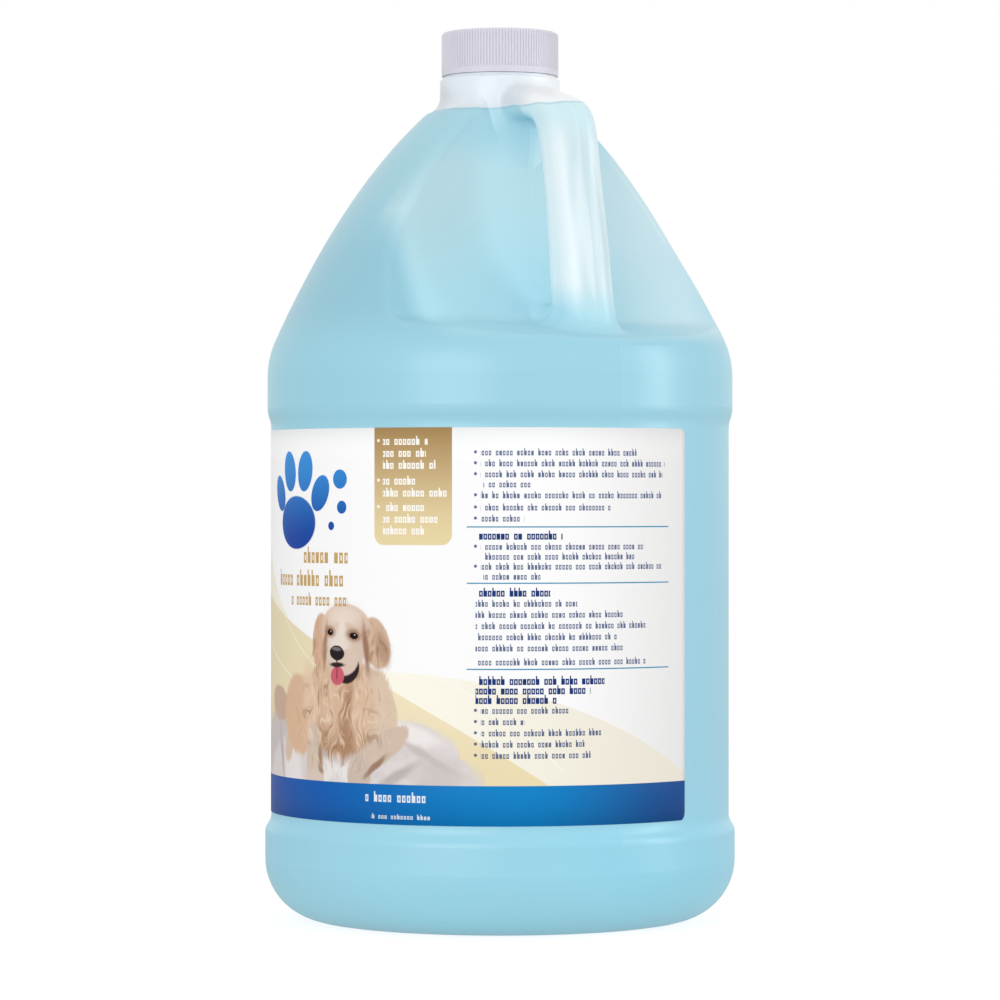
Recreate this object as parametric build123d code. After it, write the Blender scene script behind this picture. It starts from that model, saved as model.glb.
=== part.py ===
from build123d import *
import os
from math import cos, pi, radians, sin

# A gallon jug of shampoo: a blow-moulded bottle with a hollow handle, its screw cap and liner,
# the film label round it and the shampoo inside.
# Frame: origin at the middle of the base, +Z up, handle towards +X, front of the label towards -Y.
# Radii are measured from the vertical axis. All sizes are in millimetres.

# Body
wall = 1.0
push_up = 5.0
push_up_r = 44.0
contact_r = 53.0
bumper_r = 78.15
heel_radius = 20.5
bumper_top = 30.6
panel_r = 76.15
panel_bottom = 33.6
panel_top = 164.6
band_r = 77.4
band_bottom = 168.4
band_top = 186.3
shoulder_pull_r = 53.5
shoulder_pull_z = 241.2
shoulder_slope = radians(34)
shoulder_top_r = 24.8
shoulder_top_z = 267.4
collar_r = 20.0
collar_root = 269.4
collar_top = 279.3
collar_lip_radius = 0.8
fill_level = 268.5
fill_gap = 0.05

# Corner radii of the body's outline
push_up_radius = 8.0
contact_radius = 3.0
bumper_radius = 4.0
panel_foot_radius = 5.0
panel_head_radius = 8.0
band_foot_radius = 9.0
band_head_radius = 30.0
collar_root_radius = 6.0

# Pocket for the fingers, behind the handle
pocket_lean = 0.178
pocket_x = 15.5
pocket_x_height = 265.5
flare_start = 221.0
ledge_start = (36.4, 197.4)
ledge_drop = 0.17
flare_radius = 30.0
ledge_radius = 9.0
ridge_radius = 4.0
pocket_wall_share = 1.4
reach = 95.0
collar_foot_r = 18.4
collar_foot_z = 247.0
collar_foot_top = 261.0

# Handle: a point on its outer line, the point across on its inner line, and its half width there
handle_stations = [
    ((66.6, 182.0), (46.4, 182.0), 9.4),
    ((63.9, 200.5), (44.0, 199.8), 9.1),
    ((60.7, 218.0), (41.9, 217.2), 8.8),
    ((57.2, 236.0), (39.6, 234.8), 8.7),
    ((54.0, 252.0), (37.2, 250.0), 8.7),
    ((51.8, 261.6), (35.0, 257.6), 8.8),
    ((47.2, 267.6), (32.0, 262.4), 8.9),
    ((40.0, 270.7), (28.0, 264.3), 9.0),
    ((31.0, 273.2), (23.0, 264.4), 9.2),
    ((21.0, 275.6), (16.0, 263.8), 9.4),
    ((9.0, 277.0), (6.5, 263.0), 9.6),
]
handle_roundness = 0.82

# Where the handle's foot and its root on the collar are: two corners of a box round each joint line
handle_foot = ((40, -15, 186), (72, 15, 200))
handle_root = ((12, -12, 262), (22, 12, 277.5))
handle_foot_radius = 6.0
handle_root_radius = 3.0

UP = (Align.CENTER, Align.CENTER, Align.MIN)

# Neck finish, 38 mm, six threads to the inch
bore_r = 15.2
neck_ring_r = 18.75
neck_ring_top = 280.15
neck_r = 18.0
neck_bead_top = 281.4
thread_root_r = 17.25
thread_depth = 1.1
thread_pitch = 25.4 / 6
thread_turns = 1.5
thread_bottom = 283.6
thread_width = 1.5
thread_tip_width = 0.8
thread_sink = 0.3
land = 292.35
neck_bead_radius = 0.5
land_chamfer = 0.3

# Cap and its liner
cap_r = 19.45
cap_bottom = 280.3
cap_top = 294.8
cap_edge_radius = 1.2
cap_bore_r = 18.65
cap_thread_turns = 1.2
cap_thread_drop = 1.6
rib_count = 120
rib_depth = 0.32
rib_bottom = 282.3
rib_top_share = 0.55
groove_shares = (0.7, 0.85)
liner_r = 18.3
liner_bottom = 292.4
liner_top = 293.4

# Label, a film wrapped round the panel
label_gap = 0.02
label_thickness = 0.12
label_bottom = 36.2
label_top = 162.3
label_half_wrap = 111.3
label_corner = 2.7


def rounded(sketch, corners):
    """Round the named corners of a flat outline, each with its own radius."""
    for corner, radius in corners:
        vertex = sketch.vertices().sort_by_distance(corner)[0]
        sketch = fillet(vertex, radius)
    return sketch


def body_section(inset):
    """Right half of the jug's upright section, x as the radius and y as the height.

    The inset brings every wall in, so one outline serves the outside and the hollow inside it.
    """
    bumper = bumper_r - inset
    panel = panel_r - inset
    band = band_r - inset
    collar = collar_r - inset
    base = push_up + inset
    pull_in = inset * cos(shoulder_slope)
    pull_down = inset * sin(shoulder_slope)
    shoulder_pull = (shoulder_pull_r - pull_in, shoulder_pull_z - pull_down)
    shoulder_top = (shoulder_top_r - inset * cos(pi / 4), shoulder_top_z - inset * sin(pi / 4))
    root = (collar, collar_root - inset * sin(pi / 4))
    lower = Polyline(
        (0, base),
        (push_up_r, base),
        (contact_r, inset),
        (bumper, inset),
        (bumper, bumper_top),
        (panel, panel_bottom),
        (panel, panel_top),
        (band, band_bottom),
        (band, band_top),
    )
    shoulder = Bezier((band, band_top), shoulder_pull, shoulder_top)
    neck = Polyline(shoulder_top, root, (collar, collar_top - inset), (0, collar_top - inset), (0, base))
    corners = [
        ((push_up_r, base), push_up_radius),
        ((contact_r, inset), contact_radius),
        ((bumper, inset), heel_radius - inset),
        ((bumper, bumper_top), bumper_radius - inset),
        ((panel, panel_bottom), panel_foot_radius),
        ((panel, panel_top), panel_head_radius),
        ((band, band_bottom), band_foot_radius),
        ((band, band_top), band_head_radius - inset),
        (shoulder_top, contact_radius),
        (root, collar_root_radius),
    ]
    return rounded(make_face(lower + shoulder + neck), corners)


def lathe(section):
    """Turn a half section about the vertical axis."""
    return revolve(Plane.XZ * section, Axis.Z)


def pocket_cutter(inset):
    """What the moulding keeps out of the shoulder behind the handle, as one long prism across it."""
    top_z = collar_top + 2 * collar_r
    wall_top = (pocket_x + (pocket_x_height - top_z) * pocket_lean, top_z)
    bend = (pocket_x + (pocket_x_height - flare_start) * pocket_lean, flare_start)
    ledge_end = (reach, ledge_start[1] - (reach - ledge_start[0]) * ledge_drop)
    outline = Polyline(wall_top, bend, ledge_start, ledge_end, (reach, top_z), close=True)
    profile = rounded(make_face(outline), [(bend, flare_radius), (ledge_start, ledge_radius)])
    if inset:
        profile = offset(profile, inset)
    return extrude(Plane.XZ * profile, reach, both=True)


def pocket_ridges(shell):
    """The edges where the pocket breaks out of the shoulder."""
    curved = [GeomType.BSPLINE, GeomType.ELLIPSE, GeomType.HYPERBOLA, GeomType.OTHER]
    return [e for e in shell.edges() if e.geom_type in curved and e.center().Z < collar_root]


def collar_foot(inset):
    """The collar carried down into the pocket, where it narrows and sinks into the wall."""
    taper = collar_foot_top - collar_foot_z
    lower = Cone(collar_foot_r - inset, collar_r - inset, taper, align=UP)
    upper = Cylinder(collar_r - inset, collar_top - inset - collar_foot_top, align=UP)
    return Pos(0, 0, collar_foot_z) * lower + Pos(0, 0, collar_foot_top) * upper


def handle(inset):
    """The handle lofted through oval sections, from its foot in the ledge up and over to the collar."""
    sections = []
    for outer, inner, half_width in handle_stations:
        across = Vector(outer[0] - inner[0], 0, outer[1] - inner[1])
        middle = Vector((outer[0] + inner[0]) / 2, 0, (outer[1] + inner[1]) / 2)
        plane = Plane(origin=middle, x_dir=across, z_dir=across.cross(Vector(0, 1, 0)))
        depth = across.length - 2 * inset
        width = 2 * (half_width - inset)
        corner = handle_roundness * min(depth, width) / 2
        sections.append(plane * RectangleRounded(depth, width, corner))
    return loft(sections)


def joint_edges(form, low, high):
    """Edges of the form that lie wholly inside a box, leaving out the round ones about the axis."""
    corner = Vector(*low)
    size = Vector(*high) - corner
    found = []
    for edge in form.edges():
        box = edge.bounding_box()
        start = box.min - corner
        end = box.max - corner
        inside = min(start.X, start.Y, start.Z) >= 0 and (size - end).X >= 0
        if inside and (size - end).Y >= 0 and (size - end).Z >= 0 and edge.geom_type != GeomType.CIRCLE:
            found.append(edge)
    return found


def jug_form(inset):
    """The jug's whole outer form up to its collar, or with an inset the hollow inside it.

    The hollow keeps its ridges sharp, so the wall is a little thicker round the pocket.
    """
    form = lathe(body_section(inset)) - pocket_cutter(inset * pocket_wall_share)
    if not inset:
        form = fillet(pocket_ridges(form), ridge_radius)
    form = form + collar_foot(inset)
    form = form + handle(inset)
    form = fillet(joint_edges(form, *handle_foot), handle_foot_radius)
    form = fillet(joint_edges(form, *handle_root), handle_root_radius)
    lip = form.edges().filter_by(GeomType.CIRCLE).filter_by_position(Axis.Z, collar_top, collar_top)
    return fillet(lip, collar_lip_radius) if lip else form


def thread(root_r, crest_r, bottom, turns):
    """One right-handed screw thread; its crest lies inwards where the crest radius is the smaller."""
    path = Helix(thread_pitch, thread_pitch * turns, root_r)
    depth = crest_r - root_r
    sink = thread_sink if depth < 0 else -thread_sink
    outline = Polyline(
        (sink, -thread_width / 2),
        (0, -thread_width / 2),
        (depth, -thread_tip_width / 2),
        (depth, thread_tip_width / 2),
        (0, thread_width / 2),
        (sink, thread_width / 2),
        close=True,
    )
    section = Plane(origin=path @ 0, x_dir=(1, 0, 0), z_dir=path % 0) * make_face(outline)
    return Pos(0, 0, bottom) * sweep(section, path, is_frenet=True)


def neck():
    """The ring and the threaded neck above the collar, still solid: the bore is cut with the hollow."""
    ring = Pos(0, 0, collar_top) * Cylinder(neck_ring_r, neck_ring_top - collar_top, align=UP)
    bead = Pos(0, 0, collar_top) * Cylinder(neck_r, neck_bead_top - collar_top, align=UP)
    tube = Pos(0, 0, collar_top) * Cylinder(thread_root_r, land - collar_top, align=UP)
    screw = thread(thread_root_r, thread_root_r + thread_depth, thread_bottom, thread_turns)
    bead = fillet(bead.edges().sort_by(Axis.Z)[-1], neck_bead_radius)
    tube = chamfer(tube.edges().sort_by(Axis.Z)[-1], land_chamfer)
    return ring + bead + tube + screw


def bottle():
    bore = Pos(0, 0, collar_root) * Cylinder(bore_r, 2 * (land - collar_root), align=UP)
    return jug_form(0) + neck() - jug_form(wall) - bore


def shampoo():
    """What the bottle holds, up to its level surface."""
    room = Box(2 * reach, 2 * reach, fill_level, align=UP)
    return jug_form(wall + fill_gap) & room


def label():
    """The film round the panel, open at the back under the handle, with rounded corners."""
    inner_r = panel_r + label_gap
    height = label_top - label_bottom
    ring = Cylinder(inner_r + label_thickness, height, align=UP) - Cylinder(inner_r, height, align=UP)
    half_gap = radians(180 - label_half_wrap)
    far = 2 * reach
    gap = make_face(Polyline((0, 0), (far * sin(half_gap), far * cos(half_gap)), (far, far), close=True))
    gap = gap + mirror(gap, Plane.YZ) + make_face(Polyline((0, 0), (far, far), (-far, far), close=True))
    film = ring - extrude(gap, height)
    corners = [e for e in film.edges() if e.length < 2 * label_thickness]
    return Pos(0, 0, label_bottom) * fillet(corners, label_corner)


def ribbed_outline():
    """The cap's grip seen from above: flat-topped ribs with narrow grooves between them."""
    corners = [(0, cap_r), (rib_top_share, cap_r)]
    corners += [(share, cap_r - rib_depth) for share in groove_shares]
    points = []
    for index in range(rib_count):
        for share, radius in corners:
            angle = 2 * pi * (index + share) / rib_count
            points.append((radius * cos(angle), radius * sin(angle)))
    return make_face(Polyline(*points, close=True))


def cap():
    """The ribbed screw cap, with its thread inside."""
    outside = Pos(0, 0, cap_bottom) * Cylinder(cap_r, cap_top - cap_bottom, align=UP)
    outside = fillet(outside.edges().sort_by(Axis.Z)[-1], cap_edge_radius)
    grooves = Circle(2 * cap_r) - ribbed_outline()
    outside = outside - Pos(0, 0, rib_bottom) * extrude(grooves, cap_top)
    room = Pos(0, 0, cap_bottom) * Cylinder(cap_bore_r, liner_top - cap_bottom, align=UP)
    screw = thread(cap_bore_r, cap_bore_r - thread_depth, thread_bottom - cap_thread_drop, cap_thread_turns)
    return outside - room + screw


def cap_liner():
    return Pos(0, 0, liner_bottom) * Cylinder(liner_r, liner_top - liner_bottom, align=UP)


os.makedirs("parts", exist_ok=True)
for piece in (bottle, cap, cap_liner, label, shampoo):
    solid = piece()
    print(piece.__name__, round(solid.volume / 1000, 1), "ml")
    export_step(solid, f"parts/{piece.__name__}.step")
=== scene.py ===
# %% [markdown]
# # A gallon jug of pet shampoo
# The jug's shape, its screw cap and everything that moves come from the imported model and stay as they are.
# This lesson gives them their looks: a milky blue polyethylene wall, a ribbed cap, a foam liner, the liquid,
# and a printed film label that is modelled here as a new thin sheet.

# %% Load the frame
from math import atan2, cos, pi, radians, sin

import bmesh
import bpy
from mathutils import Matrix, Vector


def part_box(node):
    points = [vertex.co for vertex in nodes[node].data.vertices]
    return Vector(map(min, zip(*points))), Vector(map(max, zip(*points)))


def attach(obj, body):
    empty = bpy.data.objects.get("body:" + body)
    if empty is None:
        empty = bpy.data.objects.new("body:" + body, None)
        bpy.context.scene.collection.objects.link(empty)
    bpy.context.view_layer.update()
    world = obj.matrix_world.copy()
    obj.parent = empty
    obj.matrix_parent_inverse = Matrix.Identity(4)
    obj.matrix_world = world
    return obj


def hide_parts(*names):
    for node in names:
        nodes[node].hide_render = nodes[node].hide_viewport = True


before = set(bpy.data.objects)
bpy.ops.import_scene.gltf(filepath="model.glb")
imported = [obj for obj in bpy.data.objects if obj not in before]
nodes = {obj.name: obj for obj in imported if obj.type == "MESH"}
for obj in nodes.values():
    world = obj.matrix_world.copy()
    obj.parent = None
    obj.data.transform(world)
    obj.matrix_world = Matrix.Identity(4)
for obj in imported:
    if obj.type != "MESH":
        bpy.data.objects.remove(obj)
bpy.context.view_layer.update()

mm = 0.001
print("nodes:", sorted(nodes))


# %% [markdown]
# Every place below is worked out from the model's own boxes, so that nothing has to be fitted by eye.
# The label's box gives the radius of the panel that it is wrapped round and the heights of its edges.

# %% Read the sizes that the looks depend on
label_low, label_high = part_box("label")
label_radius = -label_low.y
label_bottom = label_low.z
label_top = label_high.z
liquid_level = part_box("shampoo")[1].z
print("label radius", round(label_radius, 5), "liquid level", round(liquid_level, 4))


# %% [markdown]
# Shader maths reads badly as a list of nodes and links. One small class wraps a socket, so that `a * 2 + b`
# adds the Math nodes itself, and one function makes any other node from its type, settings and sockets.

# %% Shader expressions
class Shade:
    """One output socket; Python's +, - and * on it add Math nodes to its tree."""

    def __init__(self, tree, socket):
        self.tree = tree
        self.socket = socket

    def math(self, operation, *others):
        return add_node(self.tree, "ShaderNodeMath", {"operation": operation}, [self, *others])

    def __add__(self, other):
        return self.math("ADD", other)

    def __mul__(self, other):
        return self.math("MULTIPLY", other)

    def __sub__(self, other):
        return self.math("SUBTRACT", other)

    def __rsub__(self, other):
        return add_node(self.tree, "ShaderNodeMath", {"operation": "SUBTRACT"}, [other, self])


def add_node(tree, kind, settings=None, inputs=None, output=0):
    """Add one node: its settings first, then the values or links of its sockets."""
    node = tree.nodes.new(kind)
    for name, value in (settings or {}).items():
        setattr(node, name, value)
    pairs = inputs.items() if isinstance(inputs, dict) else enumerate(inputs or [])
    for key, value in pairs:
        if isinstance(value, Shade):
            tree.links.new(value.socket, node.inputs[key])
        else:
            node.inputs[key].default_value = value
    return Shade(tree, node.outputs[output])


def tone(red, green, blue):
    """A screen colour, 0 to 255, as the linear colour that a shader takes."""
    shares = [c / 255 for c in (red, green, blue)]
    return tuple(c / 12.92 if c <= 0.04045 else ((c + 0.055) / 1.055) ** 2.4 for c in shares) + (1.0,)


def new_material(name):
    """An empty material; returns it with its node tree."""
    material = bpy.data.materials.new(name)
    material.use_nodes = True
    material.node_tree.nodes.clear()
    return material, material.node_tree


def object_axes(tree):
    """The surface point's x, y and z in the object's own metres."""
    place = add_node(tree, "ShaderNodeTexCoord", output=3)
    return [add_node(tree, "ShaderNodeSeparateXYZ", {}, [place], axis) for axis in range(3)]


def ramp(tree, value, start, end, low=0.0, high=1.0):
    """Ease a value from low to high while it goes from start to end."""
    settings = {"interpolation_type": "SMOOTHSTEP"}
    return add_node(tree, "ShaderNodeMapRange", settings, [value, start, end, low, high])


def blend(under, over, share):
    """Lay one colour over another, by a share from 0 to 1."""
    tree = share.tree
    return add_node(tree, "ShaderNodeMix", {"data_type": "RGBA"}, {0: share, 6: under, 7: over}, 2)


def noise(tree, scale, detail=2.0, roughness=0.5, vector=None):
    """A grey noise in the object's own metres."""
    place = vector or add_node(tree, "ShaderNodeTexCoord", output=3)
    inputs = {"Vector": place, "Scale": scale, "Detail": detail, "Roughness": roughness}
    return add_node(tree, "ShaderNodeTexNoise", {}, inputs)


def finish_material(tree, colour, surface, bump=None, bump_distance=0.1 * mm):
    """A Principled surface from a painted colour, plain settings and, where given, a bump height."""
    inputs = dict(surface)
    inputs["Base Color"] = colour
    if bump is not None:
        bump_inputs = {"Distance": bump_distance, "Height": bump}
        inputs["Normal"] = add_node(tree, "ShaderNodeBump", {}, bump_inputs)
    shader = add_node(tree, "ShaderNodeBsdfPrincipled", {}, inputs)
    output = tree.nodes.new("ShaderNodeOutputMaterial")
    tree.links.new(shader.socket, output.inputs["Surface"])


def give(node_name, material):
    """Put a material on every slot of a CAD node."""
    for slot in nodes[node_name].material_slots:
        slot.material = material
    print(node_name, "now wears", material.name)


# %% [markdown]
# The camera stands level with the middle of the jug, far enough away that the rims look almost flat, and
# turned so that the handle comes forward on the right and the label's back edge shows.

# %% Camera
camera_turn = radians(60)
camera_distance = 1.437
camera_height = 139.3 * mm
camera_lens = 155.2
camera_data = bpy.data.cameras.new("camera")
camera_data.sensor_width = 36
camera_data.lens = camera_lens
camera = bpy.data.objects.new("camera", camera_data)
camera.location = (camera_distance * sin(camera_turn), -camera_distance * cos(camera_turn), camera_height)
camera.rotation_euler = (radians(90), 0, camera_turn)
bpy.context.scene.collection.objects.link(camera)
bpy.context.scene.camera = camera
print("camera", camera_distance, "m away with a", camera_lens, "mm lens")


# %% [markdown]
# A product like this is shot on a lit white table inside a white tent. The table glows a little by itself,
# so it stays white right up to the jug, and its light also fills the underside of the heel. The tent is
# darker at its sides and top, which is what gives a round white thing its soft grey edges. The lens sees both
# plain white.

# %% Floor and surround
table_half = 12.0
table_light = 0.42
table_look = 0.84


def floor():
    """A table top with two looks: one that lights the jug, and a whiter one that the lens sees."""
    mesh = bpy.data.meshes.new("floor")
    shape = bmesh.new()
    bmesh.ops.create_grid(shape, x_segments=1, y_segments=1, size=table_half)
    shape.to_mesh(mesh)
    shape.free()
    plane = bpy.data.objects.new("floor", mesh)
    bpy.context.scene.collection.objects.link(plane)
    material, tree = new_material("lit_white_table")
    colour = blend(tone(140, 140, 140), tone(136, 136, 137), noise(tree, 3.0))
    looks = []
    for glow in (table_light, table_look):
        surface = {"Base Color": colour, "Roughness": 0.9, "Specular IOR Level": 0.0}
        surface.update({"Emission Color": (1.0, 1.0, 1.0, 1.0), "Emission Strength": glow})
        looks.append(add_node(tree, "ShaderNodeBsdfPrincipled", {}, surface))
    lens = add_node(tree, "ShaderNodeLightPath")
    both = add_node(tree, "ShaderNodeMixShader", {}, [lens, *looks])
    output = tree.nodes.new("ShaderNodeOutputMaterial")
    tree.links.new(both.socket, output.inputs["Surface"])
    mesh.materials.append(material)


def surround(side_fall, top_fall, level):
    """A white world whose light, though not its look, falls off to the camera's two sides and the top."""
    world = bpy.data.worlds.new("white_tent")
    world.use_nodes = True
    tree = world.node_tree
    tree.nodes.clear()
    direction = add_node(tree, "ShaderNodeTexCoord", output=0)
    x, y, z = [add_node(tree, "ShaderNodeSeparateXYZ", {}, [direction], axis) for axis in range(3)]
    side = x * cos(camera_turn) + y * sin(camera_turn)
    light = side * side * -side_fall + z.math("MAXIMUM", 0.0) * -top_fall + level
    lens = add_node(tree, "ShaderNodeLightPath")
    strength = light + lens * (light * -1 + 1.0)
    colour = (1.0, 1.0, 1.0, 1.0)
    background = add_node(tree, "ShaderNodeBackground", {}, [colour, strength])
    output = tree.nodes.new("ShaderNodeOutputWorld")
    tree.links.new(background.socket, output.inputs["Surface"])
    bpy.context.scene.world = world


floor()
surround(side_fall=0.40, top_fall=0.12, level=1.0)
bpy.context.scene.view_settings.view_transform = "Standard"
print("table glows", table_light, "for the jug and", table_look, "for the lens")


# %% [markdown]
# Two soft boxes do the rest. A large one stands a little left of the camera and looks slightly down, so the
# front is brightest left of the middle. A tall narrow one stands out to the right: only the glossy wall picks
# it up, as the pale upright stripe near its right edge.

# %% Soft boxes
def soft_box(name, turn, distance, height, size, power):
    """An upright area light at an angle round the jug, aimed at its middle."""
    data = bpy.data.lights.new(name, "AREA")
    data.shape = "RECTANGLE"
    data.size = size[0]
    data.size_y = size[1]
    data.energy = power
    light = bpy.data.objects.new(name, data)
    light.location = (distance * sin(turn), -distance * cos(turn), height)
    aim = Vector((0, 0, camera_height)) - light.location
    light.rotation_euler = aim.to_track_quat("-Z", "Y").to_euler()
    bpy.context.scene.collection.objects.link(light)
    print(name, power, "W")


front_turn = camera_turn - radians(24)
side_turn = camera_turn + radians(82)
soft_box("front_box", front_turn, distance=1.9, height=0.36, size=(1.2, 1.2), power=11.0)
soft_box("side_strip", side_turn, distance=1.2, height=0.25, size=(0.28, 1.1), power=4.5)


# %% [markdown]
# The wall is natural polyethylene: milky, a little glossy, and blue only where shampoo stands behind it.
# A real volume of liquid would be slow and noisy, so the colour is painted by place instead: full blue on the
# body, palest on the thin handle, and plain milky white above the liquid's level. Light and shade are painted
# in too: a paler heel, a darker shoulder, painted light up the pocket and on the handle's near side, and
# painted shade under the handle's arm. Each pair of numbers below is a start and an end, between which one
# tone eases into the next.

# %% The bottle's wall
heel_light_rise = (2 * mm, 20 * mm)
bumper_rise = (20 * mm, 60 * mm)
panel_rise = (120 * mm, 180 * mm)
shoulder_rise = (182 * mm, 205 * mm)
cone_rise = (215 * mm, 245 * mm)

pocket_foot = (188 * mm, 200 * mm)
pocket_rise = (203 * mm, 240 * mm)
pocket_wall = (10 * mm, 15 * mm)
pocket_near_edge = (7 * mm, -3 * mm)
pocket_far_edge = (80 * mm, 50 * mm)
pocket_far_side_light = (12 * mm, 48 * mm)
pocket_top = 262 * mm
pocket_top_half = 22 * mm
pocket_spread = 0.95
pocket_reach = 49 * mm
under_arm_shade = (247 * mm, 262 * mm)

grip_lean = 0.17
grip_middle = (47.5 * mm, 232 * mm)
grip_root = (197 * mm, 211 * mm)
grip_inside = (-14 * mm, -11 * mm)
grip_edge = (22 * mm, 17 * mm)
grip_lit_side = (-3 * mm, -9 * mm)
grip_arm = (252 * mm, 266 * mm)
parting_edge = (1.1 * mm, 0.2 * mm)
parting_outside = (2 * mm, 5 * mm)

wave_height = 1.6 * mm
slosh_height = 2.5 * mm
level_line = (1.0 * mm, 0.1 * mm)
level_edge = 0.25 * mm
collar_lit_side = (12 * mm, 32 * mm)


def grip_place(x, y, z):
    """How far a point is from the handle's middle line, and how it lies round it."""
    off = x - ((grip_middle[1] - z) * grip_lean + grip_middle[0])
    return off, y.math("ARCTAN2", off)


def in_the_pocket(tree, x, y, z):
    """1 on the pocket's face, which narrows upwards on the near side and fades out on the far one."""
    half = ((pocket_top - z) * pocket_spread + pocket_top_half).math("MINIMUM", pocket_reach)
    beside = y * -1.0 - half
    face = ramp(tree, z, *pocket_foot) * ramp(tree, x, *pocket_wall)
    return face * ramp(tree, beside, *pocket_near_edge) * ramp(tree, y, *pocket_far_edge)


def filled_colour(tree, x, y, z):
    """The milky blue of the wall where shampoo stands behind it, by place, with painted light on the heel and
    up the pocket and painted shade on the shoulder and under the handle's arm.
    """
    # Painted light: the heel is painted paler towards the ground.
    body = blend(tone(164, 231, 249), tone(151, 216, 237), ramp(tree, z, *heel_light_rise))
    body = blend(body, tone(156, 212, 231), ramp(tree, z, *bumper_rise))
    body = blend(body, tone(156, 213, 230), ramp(tree, z, *panel_rise))
    # Painted shade: the shoulder, which faces up into the light, is painted darker than the body.
    shoulder = blend(tone(146, 200, 217), tone(160, 209, 223), ramp(tree, z, *cone_rise))
    body = blend(body, shoulder, ramp(tree, z, *shoulder_rise))
    drift = noise(tree, 9.0, 2.0)
    body = blend(body, tone(172, 219, 232), ramp(tree, drift, 0.45, 0.75) * 0.35)
    # Painted light: the pocket is painted paler than the body, palest on its far side; under the handle's arm
    # it is painted darker, as painted shade.
    pocket = blend(tone(180, 227, 240), tone(192, 226, 235), ramp(tree, z, *pocket_rise))
    pocket = blend(pocket, tone(208, 230, 237), ramp(tree, y, *pocket_far_side_light) * 0.6)
    pocket = blend(pocket, tone(172, 219, 233), ramp(tree, z, *under_arm_shade) * 0.8)
    return blend(body, pocket, in_the_pocket(tree, x, y, z))


def grip_colour(tree, x, y, z, under):
    """The thin handle lets more light through: pale, with upright streaks, the mould's parting line, and
    painted light on its side towards the front.
    """
    off, around = grip_place(x, y, z)
    reach = (off * off + y * y).math("SQRT")
    on_grip = ramp(tree, off, *grip_inside) * ramp(tree, z, *grip_root)
    near = ramp(tree, reach, *grip_edge) * on_grip
    spot = add_node(tree, "ShaderNodeCombineXYZ", {}, [around * 1.1, z * 9.0, 0.0])
    streak = noise(tree, 1.9, 1.0, 0.4, spot)
    pale = blend(tone(206, 229, 235), tone(226, 243, 248), ramp(tree, streak, 0.38, 0.62))
    parting = ramp(tree, y.math("ABSOLUTE"), *parting_edge) * ramp(tree, off, *parting_outside)
    pale = blend(pale, tone(196, 222, 230), parting * 0.5)
    # Painted light: the handle's side towards the front is painted whiter.
    pale = blend(pale, tone(240, 252, 255), ramp(tree, y, *grip_lit_side) * 0.8)
    arm = blend(pale, tone(206, 238, 246), ramp(tree, z, *grip_arm) * 0.75)
    return blend(under, arm, near)


def wall_colour(tree, x, y, z):
    """Blue below a slightly wavy level with a darker line along it, milky white above."""
    colour = grip_colour(tree, x, y, z, filled_colour(tree, x, y, z))
    wave = noise(tree, 95.0, 1.0)
    slow = noise(tree, 30.0, 1.0)
    surface = (wave - 0.5) * wave_height + (slow - 0.5) * slosh_height + liquid_level
    line = ramp(tree, (z - surface).math("ABSOLUTE"), *level_line)
    colour = blend(colour, tone(136, 192, 212), line * 0.55)
    cloud = noise(tree, 55.0, 2.0)
    empty = blend(tone(216, 223, 229), tone(232, 241, 248), ramp(tree, cloud, 0.35, 0.65))
    empty = blend(empty, tone(252, 254, 255), ramp(tree, x + y, *collar_lit_side) * 0.8)
    above = ramp(tree, z - surface, -level_edge, level_edge)
    return blend(colour, empty, above)


def bottle_material():
    material, tree = new_material("milky_polyethylene")
    x, y, z = object_axes(tree)
    grain = noise(tree, 900.0, 3.0)
    sag = noise(tree, 22.0, 1.0)
    parting = ramp(tree, y.math("ABSOLUTE"), 0.35 * mm, 0.1 * mm)
    surface = {"Roughness": 0.33, "IOR": 1.54, "Coat Weight": 0.0}
    height = grain * 0.12 + sag * 1.6 + parting * 0.12
    finish_material(tree, wall_colour(tree, x, y, z), surface, height, 0.2 * mm)
    return material


give("bottle", bottle_material())


# %% [markdown]
# The shampoo shows only when the cap is off and someone looks down the neck. It is a clear blue liquid with
# a smooth, wet surface.

# %% The shampoo
def shampoo_material():
    material, tree = new_material("blue_shampoo")
    depth = noise(tree, 12.0)
    colour = blend(tone(104, 186, 214), tone(120, 198, 224), depth)
    surface = {"Roughness": 0.06, "IOR": 1.35, "Coat Weight": 0.3, "Coat Roughness": 0.03}
    finish_material(tree, colour, surface)
    return material


give("shampoo", shampoo_material())


# %% [markdown]
# The cap is moulded polypropylene, white with a cool cast and a satin skin. The ribs are real shape, so the
# material adds only a faint mottle and the fine grain of the mould. The liner is a disc of closed foam.

# %% The cap and its liner
def cap_material():
    material, tree = new_material("cap_polypropylene")
    mottle = noise(tree, 120.0, 3.0)
    colour = blend(tone(216, 214, 225), tone(223, 221, 232), mottle)
    grain = noise(tree, 2500.0, 2.0)
    surface = {"Roughness": 0.45, "IOR": 1.49}
    surface.update({"Subsurface Weight": 0.1, "Subsurface Radius": (2 * mm,) * 3, "Subsurface Scale": 1.0})
    finish_material(tree, colour, surface, grain, 0.02 * mm)
    return material


def liner_material():
    material, tree = new_material("liner_foam")
    cells = add_node(tree, "ShaderNodeTexVoronoi", {}, {"Scale": 2600.0})
    colour = blend(tone(240, 240, 236), tone(226, 226, 222), cells)
    finish_material(tree, colour, {"Roughness": 0.85}, cells, 0.05 * mm)
    return material


give("cap", cap_material())
give("cap_liner", liner_material())


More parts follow.
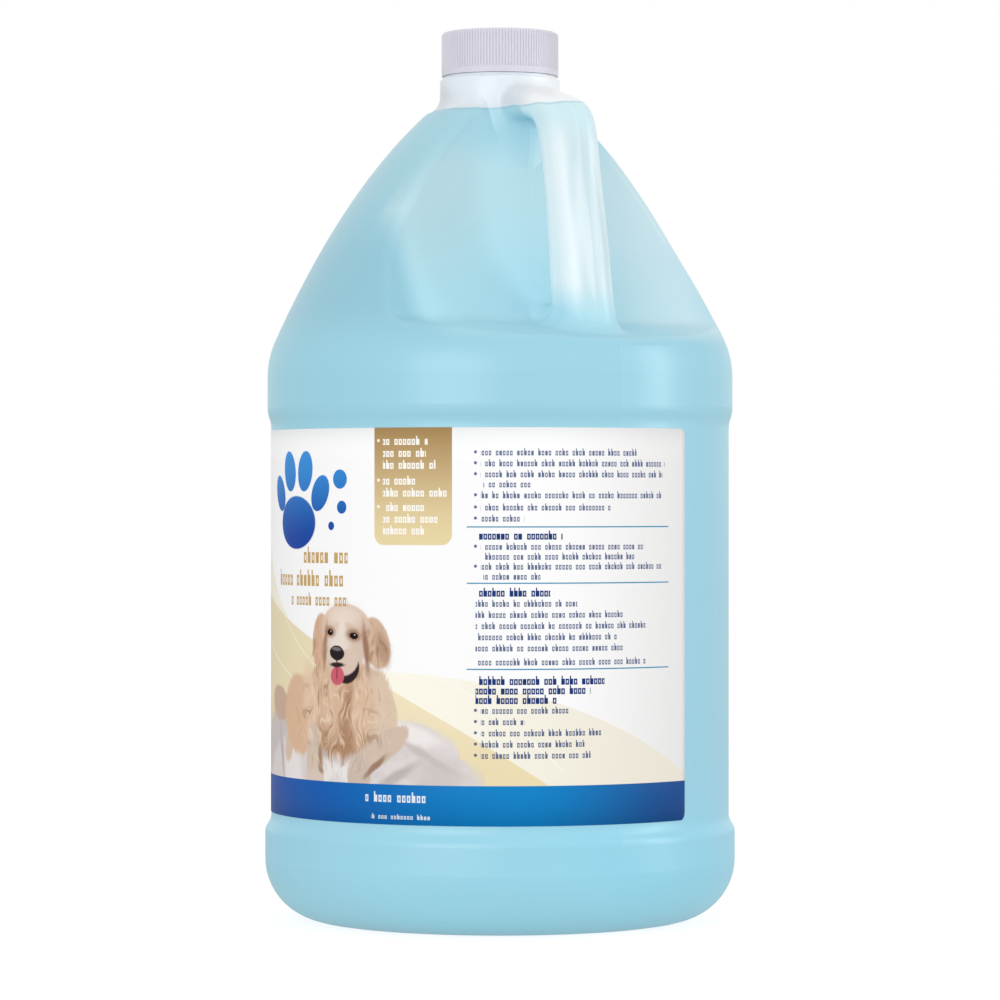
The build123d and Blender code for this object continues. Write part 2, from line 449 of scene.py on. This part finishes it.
# %% [markdown]
# The label is one sheet of film. A flat grid gets rounded corners while it is still flat, then each vertex is
# carried round the panel: how far right it was becomes how far round it goes. Solidify gives it the film's
# thickness. Bending a flat sheet keeps the outline honest, since the real one is cut flat too.

# %% The label's sheet
film_thickness = 0.1 * mm
sheet_radius = label_radius - film_thickness
half_wrap = pi / 2 + atan2(label_high.y, (label_radius**2 - label_high.y**2) ** 0.5)
half_length = half_wrap * sheet_radius
corner_radius = 2.7 * mm
corner_steps = 6
cells_along = 150
cells_up = 12


def label_sheet():
    """The film, wrapped round the panel with its middle at the front, facing -Y."""
    shape = bmesh.new()
    bmesh.ops.create_grid(shape, x_segments=cells_along, y_segments=cells_up, size=1.0)
    middle = (label_bottom + label_top) / 2
    half_height = (label_top - label_bottom) / 2
    bmesh.ops.scale(shape, vec=(half_length, half_height, 1), verts=shape.verts)
    corners = [v for v in shape.verts if len(v.link_faces) == 1]
    settings = {"affect": "VERTICES", "segments": corner_steps, "profile": 0.5, "material": -1}
    bmesh.ops.bevel(shape, geom=corners, offset=corner_radius, offset_type="OFFSET", **settings)
    for vert in shape.verts:
        turn = vert.co.x / sheet_radius
        height = middle + vert.co.y
        vert.co = (sheet_radius * sin(turn), -sheet_radius * cos(turn), height)
    mesh = bpy.data.meshes.new("printed_label")
    shape.to_mesh(mesh)
    shape.free()
    mesh.shade_smooth()
    sheet = bpy.data.objects.new("printed_label", mesh)
    bpy.context.scene.collection.objects.link(sheet)
    film = sheet.modifiers.new("film", "SOLIDIFY")
    film.thickness = film_thickness
    film.offset = 1
    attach(sheet, "jug")
    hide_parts("label")
    print("label is", round(2 * half_length / mm), "mm long")
    return sheet


sheet = label_sheet()


# %% [markdown]
# The print is drawn in the label's own flat millimetres: across, from the middle of the front, and up, from
# the ground. Both come from the point's place on the object, so the drawing wraps with the film. A Mapping
# node carries a point into a shape's own frame, where an oval is just everything nearer than 1. Each shape is
# a mask from 0 to 1, and shapes are laid over each other like coats of ink.

# %% Masks to draw with
def label_plane(tree):
    """The point's flat place on the label, in millimetres: across, up, and both as a vector."""
    x, y, z = object_axes(tree)
    across = x.math("ARCTAN2", y * -1.0) * (label_radius / mm)
    up = z * (1 / mm)
    return across, up, add_node(tree, "ShaderNodeCombineXYZ", {}, [across, up, 0.0])


def into_frame(place, middle, half, lean=0.0):
    """The point as the shape sees it: the shape's middle is 0 and its edges are 1 away."""
    inputs = {"Vector": place, "Location": (*middle, 0), "Scale": (*half, 1)}
    inputs["Rotation"] = (0, 0, radians(lean))
    return add_node(place.tree, "ShaderNodeMapping", {"vector_type": "TEXTURE"}, inputs)


def oval(place, middle, half, lean=0.0, soft=0.04):
    """1 inside a leaning oval, easing to 0 over a soft edge given as a share of its size."""
    inside = into_frame(place, middle, half, lean)
    reach = add_node(place.tree, "ShaderNodeVectorMath", {"operation": "LENGTH"}, [inside], 1)
    return ramp(place.tree, reach, 1 + soft, 1 - soft)


def strip(value, middle, half):
    """1 where a value is within half of the middle."""
    return value.math("COMPARE", middle, half)


def rounded_box(across, up, low, high, radius):
    """1 inside a box with rounded corners."""
    middle = [(a + b) / 2 for a, b in zip(low, high)]
    room = [(b - a) / 2 - radius for a, b in zip(low, high)]
    side = ((across - middle[0]).math("ABSOLUTE") - room[0]).math("MAXIMUM", 0.0)
    rise = ((up - middle[1]).math("ABSOLUTE") - room[1]).math("MAXIMUM", 0.0)
    reach = (side * side + rise * rise).math("SQRT")
    return ramp(across.tree, reach, radius + 0.08, radius - 0.08)


def over_curve(across, up, start, height, slope, bend):
    """How far a point is above a parabola through a start point with a slope there and a bend."""
    run = across - start
    return up - (run * bend + slope) * run - height


# %% [markdown]
# The lettering of a real label would name its maker, so it isn't copied. Rows of small blocks in word-like
# groups keep the weight and colour of print, with nothing to read. The point's row and its place in the row are
# the whole and the fraction of one division, and so are the block and the place in the block. White noise,
# which gives each block a number of its own, decides which blocks are tall, which are hollow, and where the
# gaps between words fall.

# %% Word-like rows
word_length = 5.6
gap_half = 0.5 / word_length
tall_over = 0.70
tall_stem = (0.28, 0.15)
hollow_under = 0.62
hollow_middle = (0.52, 0.13)
hollow_height = 0.24
hollow_fill = 0.85


def by_row(row, values):
    """The value of the point's own row, and 0 past the last; one value for all rows needs no nodes."""
    if not isinstance(values, (list, tuple)):
        return values
    total = 0.0
    for index, value in enumerate(values):
        total = strip(row, index, 0.4).math("MULTIPLY_ADD", value, total)
    return total


def random_number(tree, *parts):
    """A number from 0 to 1 that is the same wherever the parts are the same."""
    spot = add_node(tree, "ShaderNodeCombineXYZ", {}, parts)
    return add_node(tree, "ShaderNodeTexWhiteNoise", {"noise_dimensions": "3D"}, {"Vector": spot})


def word_rows(across, up, top, pitch, left, right, height, letter, ink=0.72):
    """Rows of blocks from the left to the right end of each row; the height is that of a low block."""
    tree = across.tree
    lines = up.math("MULTIPLY_ADD", -1 / pitch, top / pitch + 0.5)
    row = lines.math("FLOOR")
    drop = lines.math("FRACT")
    blocks = across * (1 / letter)
    block = blocks.math("FLOOR")
    part = blocks.math("FRACT")
    chance = random_number(tree, block, row, top)
    words = block.math("MULTIPLY_ADD", 1 / word_length, random_number(tree, row, top, 3.0))
    gap = random_number(tree, words.math("FLOOR"), row, top).math("MULTIPLY_ADD", 0.6, 0.1)
    printed = 1 - words.math("FRACT").math("COMPARE", gap, gap_half)
    low = height / pitch
    body = strip(part, 0.5, ink / 2) * strip(drop, 0.5 + low / 4, low / 2)
    tall = chance.math("GREATER_THAN", tall_over) * strip(part, *tall_stem) * strip(drop, 0.5, low * 0.75)
    hollow = chance.math("LESS_THAN", hollow_under) * strip(part, *hollow_middle)
    hollow = hollow * strip(drop, 0.5 + low / 4, low * hollow_height)
    begin = across.math("GREATER_THAN", by_row(row, left))
    end = across.math("LESS_THAN", by_row(row, right))
    return (body - hollow * hollow_fill).math("MAXIMUM", tall) * printed * begin * end


def bullets(across, up, top, pitch, rows, middle):
    """A round dot in front of each of the given rows."""
    tree = across.tree
    drop = up.math("MULTIPLY_ADD", -1.0, top)
    row = (drop * (1 / pitch) + 0.5).math("FLOOR")
    rise = row.math("MULTIPLY_ADD", -pitch, drop)
    side = across - middle
    dot = ramp(tree, side * side + rise * rise, 0.36, 0.16)
    return dot * by_row(row, [1.0 if index in rows else 0.0 for index in range(max(rows) + 1)])


# %% [markdown]
# The ground of the print is white, with a cream sweep and a golden one that fall to the right, thin bright
# arcs, and a blue band along the foot whose blue runs from deep through bright to deep again. It greys a
# little towards the label's two ends, a painted shade for the light falling off round the panel; the cream's
# darker right end and the band's deep right end are partly print and partly this painted shade. Each edge
# is a start point, a slope and a bend.

# %% Ground and band
cream_edge = (43.0, 84.5, -0.01, -0.0029)
mist_edge = (-26.0, 118.0, -0.95, 0.004)
gold_edge = (95.5, 48.9, -0.66, -0.0015)
ink_edge = (0.15, -0.15)
mist_fade = (0.2, -0.2)
band_edge = (49.05, 48.85)
arc_edge = (0.35, 0.1)
arcs = (
    (64.1, 81.3, -0.52, -0.0073, 42, 100),
    (-30.0, 93.0, -0.42, 0.0, -68, 24),
    (-30.0, 124.0, -1.25, 0.008, -68, 30),
    (-20.0, 108.0, -0.36, 0.0, -68, 30),
)


def ground_print(across, up):
    """White film with the cream and golden sweeps and the arcs over them, and painted shade greying it towards
    both ends.
    """
    tree = across.tree
    away = across.math("ABSOLUTE")
    # Painted shade: the white ground greys towards both ends of the label.
    colour = blend(tone(255, 255, 255), tone(236, 235, 234), ramp(tree, away, 85, 150))
    # The cream darkens to the right, partly as print and partly as painted shade.
    cream = blend(tone(255, 252, 237), tone(238, 232, 218), ramp(tree, across, 45, 140))
    colour = blend(colour, cream, ramp(tree, over_curve(across, up, *cream_edge), *ink_edge))
    mist = ramp(tree, over_curve(across, up, *mist_edge), *mist_fade) * 0.75
    colour = blend(colour, tone(246, 238, 212), mist * ramp(tree, across, 60, 30))
    gold = blend(tone(222, 204, 152), tone(239, 223, 180), ramp(tree, across, -30, 62))
    gold = blend(gold, tone(248, 238, 208), ramp(tree, up, 50, 78) * 0.5)
    colour = blend(colour, gold, ramp(tree, over_curve(across, up, *gold_edge), *ink_edge))
    for start, height, slope, bend, first, last in arcs:
        gap = over_curve(across, up, start, height, slope, bend).math("ABSOLUTE")
        line = ramp(tree, gap, *arc_edge) * strip(across, (first + last) / 2, (last - first) / 2)
        colour = blend(colour, tone(255, 255, 250), line * 0.7)
    return colour


def band_print(across, up, under):
    """The blue band along the label's foot, with painted shade deepening its right end."""
    tree = across.tree
    blue = blend(tone(24, 74, 160), tone(14, 92, 178), ramp(tree, across, -30, 15))
    blue = blend(blue, tone(12, 132, 202), ramp(tree, across, 5, 85))
    # The deep blue at the right end is partly print and partly painted shade.
    blue = blend(blue, tone(28, 78, 146), ramp(tree, across, 84, 146))
    return blend(under, blue, ramp(tree, up, *band_edge))


# %% [markdown]
# The picture is a pale gold dog of nobody's in particular on a white cushion, built from soft leaning ovals:
# each has a middle, half sizes, a lean, a colour and a softness. Before the ovals are measured, noise that is
# drawn out along the coat pushes the point about, so that their edges break up into hair.

# %% The dog and its cushion
cushion = (
    ((-16, 58), (16, 13), 0, (206, 197, 194), 0.10),
    ((24, 46), (52, 21), 0, (222, 214, 212), 0.06),
    ((50, 52), (19.5, 17), -10, (226, 218, 216), 0.08),
    ((50, 65), (11, 3), -14, (242, 237, 235), 0.40),
    ((60, 49), (7, 9), 20, (212, 203, 201), 0.50),
    ((45, 51), (9, 1.6), 30, (192, 182, 180), 0.60),
    ((56, 58), (10, 1.2), -30, (204, 194, 192), 0.60),
    ((22, 52), (11, 6), 0, (238, 233, 230), 0.35),
    ((-3, 52), (6, 10), 14, (236, 230, 228), 0.35),
    ((-12, 58), (1.2, 10), 14, (196, 186, 184), 0.60),
)
coat = (
    ((-14, 73), (9, 5.5), -12, (204, 174, 150), 0.12),
    ((-5, 61), (3.2, 7), -18, (220, 194, 170), 0.20),
    ((2, 70), (10, 13), 8, (222, 184, 152), 0.10),
    ((24, 74), (18, 16), 0, (218, 182, 152), 0.06),
    ((38, 72), (8, 14), 6, (223, 199, 175), 0.10),
    ((9, 74), (4, 12), 8, (230, 200, 172), 0.50),
    ((24, 63), (11, 6.5), 0, (176, 134, 102), 0.55),
    ((19, 73), (4, 11), 8, (222, 190, 162), 0.60),
    ((27, 71), (2, 10), -4, (180, 140, 110), 0.60),
    ((33, 72), (4, 11), -8, (222, 190, 162), 0.60),
    ((11, 56), (4.2, 11.5), 2, (216, 196, 178), 0.08),
    ((14.4, 55), (1.1, 9), 0, (172, 140, 116), 0.60),
    ((40, 60), (4.4, 12), -56, (214, 192, 174), 0.08),
    ((31.5, 52), (4.8, 6.5), -12, (208, 190, 176), 0.10),
    ((38, 54.4), (5.5, 1.0), 40, (160, 126, 106), 0.50),
    ((11, 49.4), (4.6, 3.0), 0, (220, 202, 188), 0.15),
)
head = (
    ((14.0, 94.4), (3.9, 8.6), -7, (218, 180, 152), 0.08),
    ((38.4, 93.8), (5.0, 8.4), 16, (214, 182, 156), 0.08),
    ((40.8, 92), (2.2, 5.5), 16, (190, 154, 130), 0.55),
    ((25.6, 98.4), (10.6, 7.7), 0, (222, 194, 174), 0.05),
    ((25.2, 102), (7.0, 3.6), 0, (236, 218, 204), 0.60),
    ((25.2, 91.4), (9.0, 8.8), -6, (220, 196, 178), 0.10),
    ((16.8, 92), (0.9, 7.0), -5, (170, 132, 106), 0.60),
    ((34.6, 91.6), (1.1, 7.6), 8, (160, 120, 96), 0.60),
    ((24.6, 97.6), (1.6, 4.0), 0, (240, 226, 214), 0.60),
    ((23.2, 92.6), (4.6, 5.4), -4, (236, 222, 210), 0.50),
    ((27.0, 85.2), (5.2, 4.4), 36, (46, 32, 34), 0.08),
    ((26.4, 87.4), (5.3, 4.0), 26, (222, 200, 184), 0.10),
    ((22.4, 83.0), (3.0, 3.0), -4, (206, 96, 112), 0.07),
    ((22.3, 83.8), (0.35, 2.2), -4, (168, 64, 84), 0.50),
    ((22.3, 86.5), (3.2, 0.8), 0, (44, 32, 34), 0.35),
    ((22.3, 88.0), (0.3, 1.3), 0, (70, 58, 58), 0.50),
    ((22.3, 90.3), (3.3, 2.4), -4, (32, 28, 30), 0.08),
    ((22.2, 91.6), (2.0, 0.6), -4, (122, 114, 116), 0.50),
    ((19.2, 97.1), (2.3, 1.7), -12, (168, 126, 98), 0.55),
    ((29.6, 96.1), (2.9, 1.9), -12, (164, 122, 94), 0.55),
    ((19.2, 96.9), (1.35, 1.0), 0, (26, 18, 18), 0.10),
    ((29.6, 95.9), (1.75, 1.05), -8, (26, 18, 18), 0.10),
    ((19.5, 97.2), (0.25, 0.2), 0, (214, 208, 206), 0.30),
    ((30.0, 96.2), (0.3, 0.2), 0, (214, 208, 206), 0.30),
)


def lay_shapes(colour, place, shapes):
    """Lay a list of ovals over a colour, one after another."""
    for middle, half, lean, paint, soft in shapes:
        colour = blend(colour, tone(*paint), oval(place, middle, half, lean, soft))
    return colour


def pushed(across, up, fur, curl, sideways, upwards):
    """The point, moved about by two noises."""
    right = across + (fur - 0.5) * sideways + (curl - 0.5) * sideways
    return add_node(across.tree, "ShaderNodeCombineXYZ", {}, [right, up + (fur - 0.5) * upwards, 0.0])


def picture_print(across, up, place, under):
    """The cushion, the dog's body with its locks of hair, and the head with its ears."""
    tree = across.tree
    drift = add_node(tree, "ShaderNodeCombineXYZ", {}, [across, up * 0.5, 0.0])
    curl = noise(tree, 0.16, 1.0, 0.5, drift)
    lock = add_node(tree, "ShaderNodeCombineXYZ", {}, [across + (curl - 0.5) * 14.0, up * 0.16, 0.0])
    fur = noise(tree, 0.85, 2.0, 0.5, lock)
    colour = lay_shapes(under, pushed(across, up, curl, curl, 1.5, 0.5), cushion)
    fold = noise(tree, 0.16, 2.0, 0.5, place)
    soft_fold = ramp(tree, fold, 0.42, 0.62) * oval(place, (40, 48), (34, 16), 0, 0.15)
    colour = blend(colour, tone(204, 195, 192), soft_fold * 0.4)
    colour = lay_shapes(colour, pushed(across, up, fur, curl, 2.6, 2.0), coat)
    body = oval(place, (22, 70), (20, 18), 0, 0.3)
    colour = blend(colour, tone(150, 112, 82), ramp(tree, fur, 0.53, 0.68) * body * 0.6)
    colour = blend(colour, tone(242, 218, 192), ramp(tree, fur, 0.46, 0.34) * body * 0.6)
    colour = lay_shapes(colour, pushed(across, up, fur, curl, 0.6, 0.4), head)
    ears = oval(place, (14, 93), (4, 8), -6, 0.3).math("MAXIMUM", oval(place, (38.6, 93), (5, 8), 16, 0.3))
    return blend(colour, tone(150, 112, 86), ramp(tree, fur, 0.50, 0.66) * ears * 0.55)


# %% [markdown]
# Over the picture go the mark, a paw print with bubbles that stands where a maker's sign would be, a golden
# title in three rows, and a golden tab that hangs from the top edge. The label's two ends carry columns of
# small navy print between thin rules. The left column is a plain guess: it repeats the right one's layout.

# %% Mark, title, tab and columns
mark = (
    ((0.0, 132.0), (11.6, 8.6), 0),
    ((-13.4, 141.5), (4.2, 6.2), 28),
    ((-4.9, 148.6), (4.4, 6.6), 10),
    ((5.6, 148.6), (4.4, 6.6), -10),
    ((14.0, 141.5), (4.2, 6.2), -28),
    ((23.6, 146.0), (3.1, 3.1), 0),
    ((24.4, 137.0), (2.1, 2.1), 0),
    ((19.6, 131.0), (1.4, 1.4), 0),
)
title_blocks = (
    (121.6, 7.4, [2.1, -16.4], [27.0, 27.0], 3.5, 2.3),
    (107.4, 9.0, [-3.7], [27.0], 2.8, 1.9),
)
foot_blocks = ((45.0, 20.0, 34.3, [57.6], 2.2, 1.7), (38.8, 20.0, 36.5, [57.8], 1.1, 1.15))
tab_corners = ((37.8, 125.0), (64.6, 172.0))
tab_radius = 3.4
tab_bullet = 39.3
tab_left = 41.0
tab_blocks = ((158.2, 3.8, [56.6, 56.0, 59.2]), (145.6, 3.8, [54.0, 62.9]), (137.2, 3.7, [57.0, 60.0, 55.6]))
column_blocks = (
    (154.5, 3.45, 73.7, [126.2, 138.1, 137.1], (0, 1, 2)),
    (144.4, 3.45, [74.6, 73.7], [89.8, 136.7], (1,)),
    (137.1, 3.50, 73.7, [116.3, 87.6], (0, 1)),
    (124.7, 3.15, [73.7, 74.6, 73.7, 74.6], [129.0, 125.8, 136.7, 92.7], (0, 2)),
    (106.7, 3.52, 72.1, [104.8, 121.1, 129.8, 118.9, 120.8], ()),
    (88.2, 3.50, 72.1, [129.8], ()),
    (72.9, 3.55, 73.7, [102.5, 87.6, 114.2, 107.2, 109.3], (0, 1, 2, 3, 4)),
)
heading_blocks = ((128.2, 3.5, [99.9]), (110.2, 3.5, [95.9]), (82.3, 3.0, [114.2, 109.3, 97.9]))
bullet_place = 72.1
column_middle = 105.5
rules = (130.8, 113.0, 85.8)
rule_middle = 104.6
rule_half = 35.3
navy = tone(26, 66, 124)
deep_navy = tone(20, 56, 120)
rule_blue = tone(60, 146, 184)


def front_print(across, up, place, under):
    """The mark, the title's rows, the golden tab with its rows, and the two rows on the band."""
    tree = across.tree
    shape = 0.0
    for middle, half, lean in mark:
        shape = oval(place, middle, half, lean, 0.03).math("MAXIMUM", shape)
    blue = blend(tone(10, 66, 162), tone(58, 146, 222), ramp(tree, up, 124, 156))
    colour = blend(under, blue, shape)
    for block in title_blocks:
        colour = blend(colour, tone(202, 166, 106), word_rows(across, up, *block))
    tab = rounded_box(across, up, *tab_corners, tab_radius)
    gold = blend(tone(236, 217, 168), tone(176, 142, 92), ramp(tree, up, 124, 165))
    colour = blend(colour, gold, tab)
    for top, pitch, right in tab_blocks:
        words = word_rows(across, up, top, pitch, tab_left, right, 1.9, 1.5, 0.8)
        words = words.math("MAXIMUM", bullets(across, up, top, pitch, (0,), tab_bullet))
        colour = blend(colour, tone(255, 252, 244), words)
    for block in foot_blocks:
        colour = blend(colour, tone(232, 241, 250), word_rows(across, up, *block))
    return colour


def column_print(across, up, under):
    """The right column's print, and the same print again on the left, one shift away."""
    shift = across.math("LESS_THAN", 0.0) * (2 * column_middle)
    along = across + shift
    colour = under
    for top, pitch, left, right, dotted in column_blocks:
        words = word_rows(along, up, top, pitch, left, right, 1.5, 1.12)
        if dotted:
            words = words.math("MAXIMUM", bullets(along, up, top, pitch, dotted, bullet_place))
        colour = blend(colour, navy, words * 0.88)
    for top, pitch, right in heading_blocks:
        words = word_rows(along, up, top, pitch, bullet_place, right, 1.9, 1.38, 0.86)
        colour = blend(colour, deep_navy, words)
    for height in rules:
        rule = strip(up, height, 0.2) * strip(along, rule_middle, rule_half)
        colour = blend(colour, rule_blue, rule)
    return colour


# %% [markdown]
# One material that draws everything would be too long a program for the renderer, so the sheet wears two: one
# for the front and one for the two end columns. Both draw the same ground, and each face takes the one that
# its place calls for, so no seam shows.

# %% Film materials
column_start = 68.0
cushion_end = 76.0
cushion_top = 57.0 * mm


def film_material(name, is_front):
    """The film's whole print for the front, or for the two end columns."""
    material, tree = new_material(name)
    across, up, place = label_plane(tree)
    colour = ground_print(across, up)
    if is_front:
        colour = picture_print(across, up, place, colour)
    colour = band_print(across, up, colour)
    if is_front:
        colour = front_print(across, up, place, colour)
    else:
        colour = column_print(across, up, colour)
    ripple = noise(tree, 18.0, 1.0)
    surface = {"Roughness": 0.45, "Specular IOR Level": 0.1}
    finish_material(tree, colour, surface, ripple, 0.2 * mm)
    print(name, "has", len(tree.nodes), "nodes")
    return material


sheet.data.materials.append(film_material("film_front", True))
sheet.data.materials.append(film_material("film_columns", False))
for face in sheet.data.polygons:
    middle = face.center
    across_mm = atan2(middle.x, -middle.y) * label_radius / mm
    front_end = cushion_end if middle.z < cushion_top else column_start
    face.material_index = 1 if abs(across_mm) > front_end else 0
